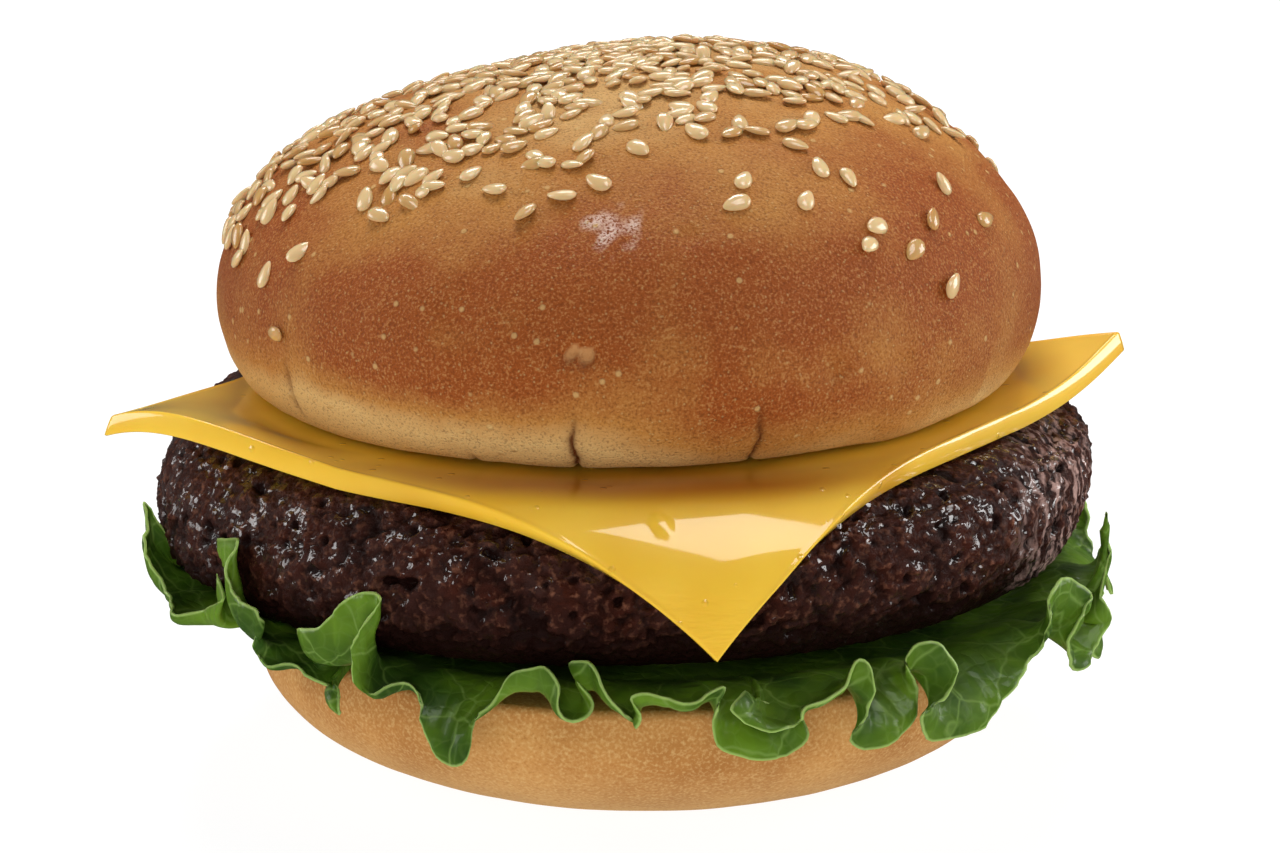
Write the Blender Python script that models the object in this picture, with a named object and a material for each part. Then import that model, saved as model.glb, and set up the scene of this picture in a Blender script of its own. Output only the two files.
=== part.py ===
"""Cheeseburger: a seeded bun crown, a cheese slice, a beef patty, a lettuce leaf and a bun heel.

Run with: blender --background --python part.py
Lengths are metres, +Z is up and the front is towards -Y. The origin is the centre of the
flat foot that the bun heel rests on. The layers run right through the food, each lies a
hair above the next, and the sesame seeds are one body with the crown.
"""
import math
import random

import bpy
import bmesh
import numpy as np
from mathutils import Matrix, Vector, noise

MM = 0.001
GAP = 0.3 * MM
LEAN = 0.012            # the patty, the cheese and the crown rise this much to the right

# Bun heel
HEEL_RADIUS = 47.3 * MM
HEEL_HEIGHT = 18.4 * MM
HEEL_FOOT = 22 * MM
HEEL_WIDEST = 14.5 * MM
HEEL_ROUNDING = 1.9

# Lettuce leaf
LEAF_THICKNESS = 0.6 * MM
LEAF_GRIPPED = 44 * MM   # radius up to which the leaf lies between the heel and the patty
LEAF_WAVE = 1.25 * MM
LEAF_WAVES = 9
LEAF_LEVEL = 21.2 * MM
LEAF_SQUARENESS = 2.6    # how squarely the frill turns up or down past the meat's edge
LEAF_SEGMENTS = 180
LEAF_RINGS = (24,)      # radii of the gripped part's rings, in mm
LEAF_FRILL_STEPS = 5

# Crests and troughs of the frill in turn: azimuth in degrees, reach and height in mm, and
# how far, in degrees, the edge doubles back on itself before the next one
FRILL_FRONT = (
    (187, 60.5, 32, 0.8), (199, 60, 24, 0.9), (205, 61, 32, 1.0), (212, 60, 24, 0.9),
    (218, 59.5, 34, 1.4), (222, 57.5, 20, 0.4), (229, 61, 28, 0.3), (232, 58, 23, 0.3),
    (239, 59.5, 33, 1.2), (237, 58, 17.5, 0.4), (243, 56.5, 23, 0.4), (247, 53.5, 13, 0.8),
    (257, 56.5, 26.5, 0.7), (262, 56, 19, 0.4), (265.5, 57, 25.5, 0.3), (270, 56.5, 19, 0.3),
    (273, 58, 24.5, 0.2), (276.5, 59, 22.5, 0.2), (280, 59, 25, 1.3), (284, 60.5, 18.5, 0.9),
    (293, 59, 27.5, 1.3), (297, 57, 15.5, 1.0), (304, 60, 28.5, 1.6), (307, 58, 14.5, 0.5),
    (321, 60.5, 30, 1.5), (326, 60, 18.5, 0.6), (334, 58.5, 34, 0.8), (344, 57, 24, 0.6),
    (356, 57, 30, 0.6),
)
FRILL_BACK_FOLDS = 11
FRILL_SEED = 7

# Beef patty
PATTY_CENTRE = (-2.3 * MM, 0)
PATTY_RADIUS = 57.0 * MM
PATTY_BOTTOM = 24.3 * MM
PATTY_TOP = 43.0 * MM
PATTY_ROUND = 9.4 * MM   # how far the rounded side reaches in from the widest line
PATTY_SQUARENESS = 2.3
PATTY_RELIEF = 1.3 * MM
PATTY_SIDE_LEAN = 0.03   # the side's widest line rises this much more to the right
PATTY_SEGMENTS = 80

# Cheese slice
CHEESE_SIDE = 88 * MM
CHEESE_THICKNESS = 2.7 * MM
CHEESE_CENTRE = (-2.7 * MM, -9.7 * MM)
CHEESE_FRONT_CORNER = -78.5  # azimuth of the corner that hangs in front, in degrees
CHEESE_SHOULDER = 49.0 * MM
CHEESE_LIFT_FROM = 45.5 * MM   # where a corner that bends up leaves the meat
CHEESE_BEND_RADIUS = 11.3 * MM
CHEESE_CELLS = 17
# Azimuth, how far the slice bends down there and how wide that bend runs, in degrees
CHEESE_BENDS = ((-80, 78, 30), (-159, -22, 26), (8, -19, 18), (100, 40, 34))
CHEESE_TIP_SAG = 25      # 1/m, how fast the left tip sags again past the shoulder

# Bun crown
CROWN_CENTRE = (-1.6 * MM, 0)
CROWN_RADIUS = 49.7 * MM
CROWN_CUT_RADIUS = 44.6 * MM
CROWN_CUT = 46.3 * MM
CROWN_WIDEST = 56.8 * MM
CROWN_DOME = 27.6 * MM
CROWN_ROUNDING = 2.1
CROWN_CURL = 7 * MM
CROWN_LOPSIDED = 1.2 * MM
CROWN_SEGMENTS = 64

# Sesame seeds
SEED_LENGTH = 3.5 * MM
SEED_WIDTH = 2.2 * MM
SEED_HEIGHT = 1.5 * MM
SEED_COUNT = 100
SEED_SPACING = 4.3 * MM
SEED_RANDOM = 11


def clear_scene():
    for obj in list(bpy.data.objects):
        bpy.data.objects.remove(obj, do_unlink=True)


def material(name, colour, roughness):
    mat = bpy.data.materials.new(name)
    mat.use_nodes = True
    shader = mat.node_tree.nodes["Principled BSDF"]
    shader.inputs["Base Color"].default_value = (*colour, 1)
    shader.inputs["Roughness"].default_value = roughness
    shader.inputs["Metallic"].default_value = 0
    return mat


def add_object(name, vertices, faces, mat):
    """One closed body from vertices and faces whose normals already point out."""
    mesh = bpy.data.meshes.new(name)
    mesh.from_pydata([tuple(v) for v in vertices], [], faces)
    mesh.materials.append(mat)
    mesh.validate()
    mesh.shade_smooth()
    obj = bpy.data.objects.new(name, mesh)
    bpy.context.collection.objects.link(obj)
    return obj


def rough(x, y, z, size, seed):
    """Smooth noise from -1 to 1 with bumps of about the given size."""
    return noise.noise(Vector((x / size + seed, y / size, z / size)))


def turned(rings, segments):
    """Close a turned body. rings is an array of rings of points, from the bottom pole to
    the top one, and the first and last rings are single points."""
    vertices = [rings[0][0]]
    for ring in rings[1:-1]:
        vertices.extend(ring)
    vertices.append(rings[-1][0])
    last = len(vertices) - 1
    rows = len(rings) - 2
    faces = []
    for j in range(segments):
        k = (j + 1) % segments
        faces.append((0, 1 + k, 1 + j))
        for i in range(rows - 1):
            a = 1 + i * segments
            b = a + segments
            faces.append((a + j, a + k, b + k, b + j))
        top = 1 + (rows - 1) * segments
        faces.append((top + j, top + k, last))
    return vertices, faces


def build_heel():
    """The lower half of the bun: a flat foot, a bowl-shaped side and a flat cut top."""
    segments = 48
    profile = [(0, 0), (HEEL_FOOT, 0)]
    for i in range(1, 7):
        t = math.radians(90 * i / 6)
        reach = HEEL_FOOT + (HEEL_RADIUS - HEEL_FOOT) * math.sin(t) ** (2 / HEEL_ROUNDING)
        profile.append((reach, HEEL_WIDEST * (1 - math.cos(t) ** (2 / HEEL_ROUNDING))))
    profile.append((HEEL_RADIUS - 0.3 * MM, HEEL_HEIGHT - 1.2 * MM))
    profile.append((HEEL_RADIUS - 1.2 * MM, HEEL_HEIGHT))
    profile.append((0, HEEL_HEIGHT))
    rings = []
    for r, z in profile:
        ring = []
        for j in range(segments):
            a = 2 * math.pi * j / segments
            # the loaf is a little uneven above its foot
            swell = 1 - 0.010 * (z / HEEL_HEIGHT) * (1 + rough(math.cos(a), math.sin(a), 0, 0.8, 3))
            ring.append((r * swell * math.cos(a), r * swell * math.sin(a), z))
        rings.append(ring)
    vertices, faces = turned(rings, segments)
    return add_object("bun_heel", vertices, faces, material("baked_bun_side", (0.52, 0.27, 0.11), 0.75))


def frill_points():
    """Crests and troughs all the way round, the back ones by rule and a seeded draw."""
    draw = random.Random(FRILL_SEED)
    start = FRILL_FRONT[-1][0]
    end = FRILL_FRONT[0][0] + 360
    step = (end - start) / (2 * FRILL_BACK_FOLDS)
    points = list(FRILL_FRONT)
    for i in range(1, 2 * FRILL_BACK_FOLDS):
        crest = i % 2 == 0
        height = draw.uniform(27, 33) if crest else draw.uniform(15, 22)
        reach = draw.uniform(58, 60) if crest else draw.uniform(55, 59)
        reach -= 2 * math.exp(-(i / 3) ** 2)
        azimuth = start + step * (i + draw.uniform(-0.2, 0.2))
        points.append((azimuth, reach, height, draw.uniform(0.7, 1.5)))
    return points


def frill_edge(count):
    """The leaf's outer edge as azimuth, reach and height: an even ease from each crest to
    the next trough, while the azimuth swings forward and back so that folds lap over."""
    points = frill_points()
    points.append((points[0][0] + 360,) + points[0][1:])
    azimuths, reaches, heights, laps = np.array(points).T
    turns = np.concatenate([azimuths[-2:-1] - 360, azimuths, azimuths[1:2] + 360])
    evened = (turns[:-2] + 2 * turns[1:-1] + turns[2:]) / 4
    place = np.linspace(0, len(points) - 1, count, endpoint=False)
    i = place.astype(int)
    t = place - i
    ease = (1 - np.cos(np.pi * t)) / 2
    azimuth = azimuths[i] + (azimuths[i + 1] - azimuths[i]) * t + laps[i] * np.sin(2 * np.pi * t)
    reach = reaches[i] + (reaches[i + 1] - reaches[i]) * ease
    height = heights[i] + (heights[i + 1] - heights[i]) * ease
    steady = evened[i] + (evened[i + 1] - evened[i]) * t
    return np.radians(azimuth), np.radians(steady), reach * MM, height * MM


def leaf_surface(count, rings, steps):
    """The leaf's middle surface as a grid of points. Inside it waves gently between bun
    and meat. Outside, each line runs out and curls up or down along a quarter of a
    superellipse to the frilled edge."""
    azimuth, steady, reach, height = frill_edge(count)
    level = LEAF_LEVEL + LEAN * LEAF_GRIPPED * np.cos(steady) * 0.5
    grid = []
    for r in rings:
        r = r * MM
        fade = np.sin(np.pi * min(1, r / LEAF_GRIPPED))
        wave = LEAF_WAVE * fade * np.cos(LEAF_WAVES * steady + 40 * r)
        z = LEAF_LEVEL + LEAN * r * np.cos(steady) * 0.5 + wave
        grid.append(np.stack([r * np.cos(steady), r * np.sin(steady), z], -1))
    for s in np.linspace(0, 1, steps + 1):
        out = np.sin(s * np.pi / 2) ** (2 / LEAF_SQUARENESS)
        up = 1 - np.cos(s * np.pi / 2) ** (2 / LEAF_SQUARENESS)
        turn = steady + (azimuth - steady) * up
        r = LEAF_GRIPPED + (reach - LEAF_GRIPPED) * out
        z = level + (height - level) * up
        grid.append(np.stack([r * np.cos(turn), r * np.sin(turn), z], -1))
    return np.array(grid)


def grid_normals(grid):
    """Upward unit normals of a grid of rings round the Z axis."""
    along = np.roll(grid, -1, axis=1) - np.roll(grid, 1, axis=1)
    outward = np.gradient(grid, axis=0)
    normal = np.cross(outward, along)
    return normal / np.linalg.norm(normal, axis=-1, keepdims=True)


def build_leaf():
    """A thin ruffled leaf. Both faces are the middle surface moved half a thickness out,
    split into triangles along the same diagonals."""
    grid = leaf_surface(LEAF_SEGMENTS, LEAF_RINGS, LEAF_FRILL_STEPS)
    normal = grid_normals(grid)
    rows, columns = grid.shape[:2]
    top = grid + normal * LEAF_THICKNESS / 2
    bottom = grid - normal * LEAF_THICKNESS / 2
    centre = (0, 0, LEAF_LEVEL)
    vertices = [(0, 0, centre[2] + LEAF_THICKNESS / 2), (0, 0, centre[2] - LEAF_THICKNESS / 2)]
    vertices.extend(top.reshape(-1, 3))
    vertices.extend(bottom.reshape(-1, 3))
    upper = 2
    lower = 2 + rows * columns
    faces = []
    for j in range(columns):
        k = (j + 1) % columns
        faces.append((0, upper + j, upper + k))
        faces.append((1, lower + k, lower + j))
        for i in range(rows - 1):
            a, b = i * columns + j, i * columns + k
            c, d = a + columns, b + columns
            faces.append((upper + a, upper + c, upper + d))
            faces.append((upper + a, upper + d, upper + b))
            faces.append((lower + a, lower + d, lower + c))
            faces.append((lower + a, lower + b, lower + d))
        edge = (rows - 1) * columns
        faces.append((upper + edge + j, lower + edge + j, lower + edge + k))
        faces.append((upper + edge + j, lower + edge + k, upper + edge + k))
    return add_object("lettuce_leaf", vertices, faces, material("lettuce", (0.10, 0.26, 0.03), 0.4))


def build_patty():
    """A ground beef disc with a bulging, craggy side and flat middle faces."""
    half = (PATTY_TOP - PATTY_BOTTOM) / 2
    middle = PATTY_BOTTOM + half
    flat = PATTY_RADIUS - PATTY_ROUND
    profile = [(0, -1)]
    for i in range(9):
        t = math.radians(-90 + 180 * i / 8)
        lift = math.copysign(abs(math.sin(t)) ** (2 / PATTY_SQUARENESS), t)
        profile.append((flat + PATTY_ROUND * abs(math.cos(t)) ** (2 / PATTY_SQUARENESS), lift))
    profile.append((0, 1))
    rings = []
    for r, lift in profile:
        ring = []
        side = 1 - abs(lift) ** 4
        for j in range(PATTY_SEGMENTS):
            a = 2 * math.pi * j / PATTY_SEGMENTS
            x, y, z = r * math.cos(a), r * math.sin(a), half * lift
            crag = 0.5 + 0.5 * rough(x, y, z, 5 * MM, 5) + 0.5 * rough(x, y, z, 12 * MM, 9)
            reach = r - PATTY_RELIEF * side * max(0, crag)
            ring.append((PATTY_CENTRE[0] + reach * math.cos(a), PATTY_CENTRE[1] + reach * math.sin(a),
                         middle + z + (LEAN + PATTY_SIDE_LEAN * side ** 3) * reach * math.cos(a)))
        rings.append(ring)
    vertices, faces = turned(rings, PATTY_SEGMENTS)
    return add_object("beef_patty", vertices, faces, material("grilled_beef", (0.10, 0.045, 0.028), 0.45))


def cheese_bend(azimuth):
    """How far the slice bends down in a direction, in radians."""
    bend = np.zeros_like(azimuth)
    for centre, angle, width in CHEESE_BENDS:
        away = (np.degrees(azimuth) - centre + 180) % 360 - 180
        bend += angle * np.exp(-(away / width) ** 2)
    return np.radians(bend)


def cheese_surface(cells, offset):
    """The slice as a grid of points, offset up from its middle. A point's distance from
    the patty's centre is laid off level to the shoulder, then round a bend, then straight."""
    corner = math.radians(CHEESE_FRONT_CORNER)
    half = CHEESE_SIDE / 2
    u, v = np.meshgrid(np.linspace(-half, half, cells + 1), np.linspace(-half, half, cells + 1), indexing="ij")
    x = CHEESE_CENTRE[0] + u * math.cos(corner - math.pi / 4) + v * math.cos(corner + math.pi / 4)
    y = CHEESE_CENTRE[1] + u * math.sin(corner - math.pi / 4) + v * math.sin(corner + math.pi / 4)
    dx, dy = x - PATTY_CENTRE[0], y - PATTY_CENTRE[1]
    distance = np.hypot(dx, dy)
    bend = cheese_bend(np.arctan2(dy, dx))
    sense = np.where(bend < 0, -1, 1)
    bend = np.abs(bend) + 1e-6
    shoulder = np.where(sense > 0, CHEESE_SHOULDER, CHEESE_LIFT_FROM)
    past = np.maximum(distance - shoulder, 0)
    turn = np.minimum(past / CHEESE_BEND_RADIUS, bend)
    straight = past - turn * CHEESE_BEND_RADIUS
    reach = np.minimum(distance, shoulder)
    reach = reach + CHEESE_BEND_RADIUS * np.sin(turn) + straight * np.cos(turn)
    drop = sense * (CHEESE_BEND_RADIUS * (1 - np.cos(turn)) + straight * np.sin(turn))
    drop = drop + CHEESE_TIP_SAG * past ** 2 * (dx < 0) * np.exp(-(dy / dx * 4) ** 2 * 0.3)
    reach = reach + offset * sense * np.sin(turn)
    rise = offset * np.cos(turn)
    dx, dy = dx / distance * reach, dy / distance * reach
    level = PATTY_TOP + GAP + CHEESE_THICKNESS / 2
    return np.stack([PATTY_CENTRE[0] + dx, PATTY_CENTRE[1] + dy, level - drop + rise + LEAN * dx], -1)


def build_cheese():
    """A square slice laid corner to the front, draped over the patty's shoulder."""
    top = cheese_surface(CHEESE_CELLS, CHEESE_THICKNESS / 2)
    bottom = cheese_surface(CHEESE_CELLS, -CHEESE_THICKNESS / 2)
    n = CHEESE_CELLS + 1
    vertices = list(top.reshape(-1, 3)) + list(bottom.reshape(-1, 3))
    lower = n * n
    faces = []
    for i in range(n - 1):
        for j in range(n - 1):
            a, b = i * n + j, i * n + j + 1
            c, d = a + n, b + n
            faces.append((a, c, d, b))
            faces.append((lower + a, lower + b, lower + d, lower + c))
    border = [(i, 0) for i in range(n - 1)] + [(n - 1, j) for j in range(n - 1)]
    border += [(i, n - 1) for i in range(n - 1, 0, -1)] + [(0, j) for j in range(n - 1, 0, -1)]
    for index, (i, j) in enumerate(border):
        p, q = border[(index + 1) % len(border)]
        faces.append((i * n + j, lower + i * n + j, lower + p * n + q, p * n + q))
    return add_object("cheese_slice", vertices, faces, material("cheddar_slice", (0.80, 0.42, 0.03), 0.3))


def crown_point(azimuth, lift):
    """A point of the crown's skin. lift runs from -1 at the cut edge through 0 at the
    widest line to 1 at the top. Below, the side curls in along an arc; above, the dome is a
    superellipse, a little fuller on the right."""
    if lift < 0:
        inset = CROWN_RADIUS - CROWN_CURL
        most = math.acos((CROWN_CUT_RADIUS - inset) / CROWN_CURL)
        r = inset + CROWN_CURL * math.cos(most * lift)
        z = CROWN_WIDEST + (CROWN_WIDEST - CROWN_CUT) * math.sin(most * lift) / math.sin(most)
    else:
        t = lift * math.pi / 2
        r = CROWN_RADIUS * math.cos(t) ** (2 / CROWN_ROUNDING)
        z = CROWN_WIDEST + CROWN_DOME * math.sin(t) ** (2 / CROWN_ROUNDING)
        z += CROWN_LOPSIDED * math.sin(math.pi * r * math.cos(azimuth) / 44 / MM) * min(1, 3 * lift)
    swell = 1 + 0.010 * rough(math.cos(azimuth), math.sin(azimuth), lift, 0.7, 21)
    x, y = r * swell * math.cos(azimuth), r * swell * math.sin(azimuth)
    return Vector((CROWN_CENTRE[0] + x, CROWN_CENTRE[1] + y, z + LEAN * x))


def crown_body():
    """The crown without its seeds: flat cut underside, curled lower side and dome."""
    lifts = [-1, -0.66, -0.33, 0, 0.14, 0.28, 0.42, 0.56, 0.70, 0.84]
    cut = CROWN_CUT
    rings = [[(CROWN_CENTRE[0], CROWN_CENTRE[1], cut)]]
    inner = []
    for j in range(CROWN_SEGMENTS):
        edge = crown_point(2 * math.pi * j / CROWN_SEGMENTS, -1)
        x, y = (edge.x - CROWN_CENTRE[0]) * 0.6, (edge.y - CROWN_CENTRE[1]) * 0.6
        inner.append((CROWN_CENTRE[0] + x, CROWN_CENTRE[1] + y, cut + LEAN * x))
    rings.append(inner)
    for lift in lifts:
        rings.append([crown_point(2 * math.pi * j / CROWN_SEGMENTS, lift) for j in range(CROWN_SEGMENTS)])
    rings.append([crown_point(0, 1)])
    return turned(rings, CROWN_SEGMENTS)


def seed_places():
    """Where the seeds lie: thick on the top and down the left and the back, thinning out
    towards the right and the front, none nearer than the spacing."""
    draw = random.Random(SEED_RANDOM)
    places = []
    while len(places) < SEED_COUNT:
        azimuth = draw.uniform(0, 2 * math.pi)
        lift = 1 - draw.random() ** 0.8 * 0.78
        away = (math.degrees(azimuth) - 165 + 180) % 360 - 180
        lowest = 0.50 - 0.30 * math.exp(-(away / 60) ** 2)
        if lift < lowest + draw.uniform(-0.06, 0.12):
            continue
        place = crown_point(azimuth, lift)
        if all((place - other).length > SEED_SPACING for other, _, _ in places):
            places.append((place, azimuth, lift))
    return places


def skin_normal(azimuth, lift):
    step = 0.01
    along = crown_point(azimuth + step, lift) - crown_point(azimuth - step, lift)
    up = crown_point(azimuth, min(0.999, lift + step)) - crown_point(azimuth, lift - step)
    return along.cross(up).normalized()


def seed_mesh(name, place, normal, turn):
    """A flattened teardrop of 30 triangles, lying on the skin and half sunk in it."""
    across = normal.orthogonal().normalized()
    across.rotate(Matrix.Rotation(turn, 3, normal))
    along = normal.cross(across)
    sides = 5
    sections = ((-0.30, 0.74), (0.02, 1.0), (0.30, 0.62))
    vertices = [place - along * SEED_LENGTH * 0.5]
    for reach, girth in sections:
        for j in range(sides):
            a = 2 * math.pi * (j + 0.25) / sides
            side = across * SEED_WIDTH / 2 * girth * math.cos(a)
            rise = normal * SEED_HEIGHT / 2 * girth * math.sin(a)
            vertices.append(place + along * SEED_LENGTH * reach + side + rise)
    vertices.append(place + along * SEED_LENGTH * 0.5)
    last = len(vertices) - 1
    faces = []
    for j in range(sides):
        k = (j + 1) % sides
        faces.append((0, 1 + k, 1 + j))
        for i in range(len(sections) - 1):
            a, b = 1 + i * sides, 1 + (i + 1) * sides
            faces.append((a + j, a + k, b + k, b + j))
        faces.append((1 + 2 * sides + j, 1 + 2 * sides + k, last))
    mesh = bpy.data.meshes.new(name)
    mesh.from_pydata([tuple(v) for v in vertices], [], faces)
    bm = bmesh.new()
    bm.from_mesh(mesh)
    bmesh.ops.recalc_face_normals(bm, faces=bm.faces)
    bm.to_mesh(mesh)
    bm.free()
    return mesh


def build_crown():
    """The domed upper half of the bun with its sesame seeds baked on."""
    crust = material("baked_crust", (0.42, 0.17, 0.05), 0.5)
    vertices, faces = crown_body()
    crown = add_object("bun_crown", vertices, faces, crust)
    seeds = bpy.data.collections.new("seeds")
    bpy.context.scene.collection.children.link(seeds)
    draw = random.Random(SEED_RANDOM + 1)
    for index, (place, azimuth, lift) in enumerate(seed_places()):
        normal = skin_normal(azimuth, lift)
        centre = place + normal * SEED_HEIGHT * draw.uniform(0.10, 0.22)
        mesh = seed_mesh(f"seed_{index}", centre, normal, draw.uniform(0, 2 * math.pi))
        seeds.objects.link(bpy.data.objects.new(f"seed_{index}", mesh))
    union = crown.modifiers.new("fuse_seeds", "BOOLEAN")
    union.operation = "UNION"
    union.operand_type = "COLLECTION"
    union.collection = seeds
    union.solver = "EXACT"
    bpy.context.view_layer.objects.active = crown
    bpy.ops.object.modifier_apply(modifier=union.name)
    for seed in list(seeds.objects):
        bpy.data.objects.remove(seed, do_unlink=True)
    bpy.data.collections.remove(seeds)
    return crown


clear_scene()
build_heel()
build_leaf()
build_patty()
build_cheese()
build_crown()
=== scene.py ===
"""Looks of a cheeseburger: the bread, leaf, meat, cheese and seeds as fine surfaces with
procedural materials, on a pale floor under soft studio light. Lengths are metres."""
import math
import random
from functools import partial

import bpy
import numpy as np
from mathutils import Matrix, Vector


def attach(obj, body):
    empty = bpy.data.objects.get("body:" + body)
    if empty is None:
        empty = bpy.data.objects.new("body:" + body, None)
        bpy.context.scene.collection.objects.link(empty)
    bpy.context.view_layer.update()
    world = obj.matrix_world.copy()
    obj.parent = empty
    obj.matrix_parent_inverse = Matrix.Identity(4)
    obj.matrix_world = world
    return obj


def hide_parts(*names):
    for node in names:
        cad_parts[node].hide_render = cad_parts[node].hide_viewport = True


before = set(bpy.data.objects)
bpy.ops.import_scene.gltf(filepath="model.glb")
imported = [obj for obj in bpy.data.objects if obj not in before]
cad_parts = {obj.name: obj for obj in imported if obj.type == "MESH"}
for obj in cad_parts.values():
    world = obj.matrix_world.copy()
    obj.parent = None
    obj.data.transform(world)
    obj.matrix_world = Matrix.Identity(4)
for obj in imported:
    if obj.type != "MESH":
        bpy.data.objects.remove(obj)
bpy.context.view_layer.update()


# Bun heel
# The lower half of a soft bread bun, baked tan and dry, with a flat foot where it stood on
# the tray, a bowl-shaped side and a flat cut face under the leaf. It rests on the floor.
MM = 0.001
HEEL_RADIUS = 47.3 * MM
HEEL_HEIGHT = 18.4 * MM
HEEL_FOOT = 22 * MM
HEEL_WIDEST = 14.5 * MM
HEEL_ROUNDING = 1.9
HEEL_SHOULDER = 1.2 * MM    # radius of the turn from the side to the cut face
HEEL_DENT = 0.35 * MM       # how deep the side's soft dents go
HEEL_COLUMNS = 600          # points round each ring
HEEL_TAN = "#c18b4d"
HEEL_BROWN = "#a56d36"
# Pale is used for the grains and for the painted floor light low on the side
HEEL_PALE = "#d6b074"


def linear(colour):
    """A shader colour from an sRGB hex string."""
    parts = [int(colour[i:i + 2], 16) / 255 for i in (1, 3, 5)]
    parts = [c / 12.92 if c <= 0.04045 else ((c + 0.055) / 1.055) ** 2.4 for c in parts]
    return (*parts, 1.0)


def node(tree, kind, links=None, output=0, **settings):
    """Add a node, set its properties, give its sockets values or other nodes' outputs, and
    hand back one of its own outputs."""
    made = tree.nodes.new("ShaderNode" + kind)
    for name, value in settings.items():
        setattr(made, name, value)
    for socket, source in (links or {}).items():
        if isinstance(source, bpy.types.NodeSocket):
            tree.links.new(source, made.inputs[socket])
        else:
            made.inputs[socket].default_value = source
    return made.outputs[output]


def finish(name, **sockets):
    """A material and a function that adds nodes to it. Sockets of its shader that are the
    same all over are set by name."""
    made = bpy.data.materials.new(name)
    made.use_nodes = True
    shader = made.node_tree.nodes["Principled BSDF"]
    for socket, value in sockets.items():
        shader.inputs[socket.replace("_", " ")].default_value = value
    return made, partial(node, made.node_tree)


def feed(made, **sources):
    """Link outputs to sockets of a material's shader, by name, and hand the material back."""
    tree = made.node_tree
    shader = tree.nodes["Principled BSDF"]
    for socket, source in sources.items():
        tree.links.new(source, shader.inputs[socket.replace("_", " ")])
    return made


def lattice_number(cell):
    """A number from 0 to 4095 for each cell of a cubic lattice, mixed from its three counts."""
    key = cell * (73856093, 19349663, 83492791)
    return (key[..., 0] ^ key[..., 1] ^ key[..., 2]) % 4096


def soft_noise(points, size, seed):
    """Smooth bumps of about -1 to 1. Each corner of a cubic lattice of the given size holds
    a seeded slope, and the heights of the eight slopes round a point are eased together."""
    slopes = np.random.default_rng(seed).normal(size=(4096, 3))
    place = points / size
    cell = np.floor(place).astype(np.int64)
    within = place - cell
    ease = within ** 3 * (within * (within * 6 - 15) + 10)
    total = np.zeros(points.shape[:-1])
    for corner in np.ndindex(2, 2, 2):
        slope = slopes[lattice_number(cell + np.array(corner))]
        height = (slope * (within - np.array(corner))).sum(-1)
        weight = np.where(corner, ease, 1 - ease).prod(-1)
        total += height * weight
    return total


def unit(vectors):
    """The same directions with a length of one."""
    return vectors / np.maximum(np.linalg.norm(vectors, axis=-1, keepdims=True), 1e-12)


def grid_normals(grid):
    """Outward unit normals of rings of points that run from the bottom to the top."""
    along = np.roll(grid, -1, axis=1) - np.roll(grid, 1, axis=1)
    upward = np.gradient(grid, axis=0)
    return unit(np.cross(along, upward))


def closed_turn(grid):
    """Points and faces of rings from the bottom up, closed by a pole at either end."""
    rows, columns = grid.shape[:2]
    index = np.arange(rows * columns).reshape(rows, columns)
    right = np.roll(index, -1, axis=1)
    wall = np.stack([index[:-1], right[:-1], right[1:], index[1:]], -1).reshape(-1, 4)
    foot = np.stack([np.full(columns, rows * columns), right[0], index[0]], -1)
    roof = np.stack([np.full(columns, rows * columns + 1), index[-1], right[-1]], -1)
    points = np.concatenate([grid.reshape(-1, 3), grid[:1].mean(axis=1), grid[-1:].mean(axis=1)])
    return points, [wall, foot, roof]


def add_piece(name, points, faces, material, values=None):
    """A smooth mesh object at the origin. faces is a list of index arrays, one for each
    number of corners, and values holds named numbers, one for each point."""
    corners = np.concatenate([part.ravel() for part in faces]).astype(np.int32)
    sizes = np.concatenate([np.full(len(part), part.shape[1]) for part in faces])
    mesh = bpy.data.meshes.new(name)
    mesh.vertices.add(len(points))
    mesh.loops.add(len(corners))
    mesh.polygons.add(len(sizes))
    mesh.vertices.foreach_set("co", points.astype(np.float32).ravel())
    mesh.loops.foreach_set("vertex_index", corners)
    mesh.polygons.foreach_set("loop_start", (np.cumsum(sizes) - sizes).astype(np.int32))
    mesh.update(calc_edges=True)
    mesh.validate()
    mesh.shade_smooth()
    for key, numbers in (values or {}).items():
        held = mesh.attributes.new(key, "FLOAT", "POINT").data
        held.foreach_set("value", numbers.astype(np.float32))
    mesh.materials.append(material)
    piece = bpy.data.objects.new(name, mesh)
    bpy.context.scene.collection.objects.link(piece)
    return piece


def heel_profile():
    """Radius and height up the heel: a flat foot, a quarter of a superellipse to the widest
    line, a short upright side, a small round shoulder and the level cut face."""
    turn = np.linspace(0, np.pi / 2, 70)[1:]
    bowl_r = HEEL_FOOT + (HEEL_RADIUS - HEEL_FOOT) * np.sin(turn) ** (2 / HEEL_ROUNDING)
    bowl_z = HEEL_WIDEST * (1 - np.cos(turn) ** (2 / HEEL_ROUNDING))
    side_z = np.linspace(HEEL_WIDEST, HEEL_HEIGHT - HEEL_SHOULDER, 12)[1:]
    bend = np.linspace(0, np.pi / 2, 8)[1:]
    shoulder_r = HEEL_RADIUS - HEEL_SHOULDER + HEEL_SHOULDER * np.cos(bend)
    shoulder_z = HEEL_HEIGHT - HEEL_SHOULDER + HEEL_SHOULDER * np.sin(bend)
    face_r = np.linspace(HEEL_RADIUS - HEEL_SHOULDER, 1 * MM, 26)[1:]
    foot_r = np.linspace(1 * MM, HEEL_FOOT, 10)
    radius = np.concatenate([foot_r, bowl_r, np.full(11, HEEL_RADIUS), shoulder_r, face_r])
    height = np.concatenate([foot_r * 0, bowl_z, side_z, shoulder_z, face_r * 0 + HEEL_HEIGHT])
    return radius, height


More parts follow.
